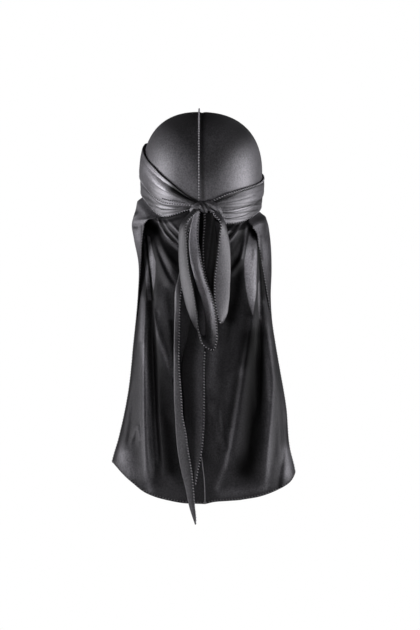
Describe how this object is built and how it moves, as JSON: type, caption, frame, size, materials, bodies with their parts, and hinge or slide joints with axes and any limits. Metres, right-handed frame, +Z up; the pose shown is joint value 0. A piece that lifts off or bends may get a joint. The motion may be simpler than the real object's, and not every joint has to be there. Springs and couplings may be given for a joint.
{
  "type": "durag",
  "caption": "Long satin head wrap kept as worn: domed crown with raised centre seam, band tied at the back with a bow and two hanging ends, and a long draped cape",
  "frame": {"origin": "inner top of the crown, on the plane of the centre seam, where the top of a head sits", "axes": "+Z up along the wearer, +Y to the back of the head where the knot is, -Y to the forehead, +X to the wearer's left"},
  "size_m": [0.2349, 0.2214, 0.5293],
  "materials": {
    "satin": "satin",
    "tie_satin": "satin",
    "seam_thread": "matte"
  },
  "bodies": {
    "root": {"crown_panel_left": "satin", "crown_panel_right": "satin", "crown_seam": "seam_thread", "front_hem": "tie_satin", "strap_left": "tie_satin", "strap_right": "tie_satin", "knot": "tie_satin", "bow_loop_left": "tie_satin", "bow_loop_right": "tie_satin", "tie_end_left": "tie_satin", "tie_end_right": "tie_satin", "cape_panel_left": "satin", "cape_panel_right": "satin", "cape_seam": "seam_thread"}
  },
  "joints": []
}
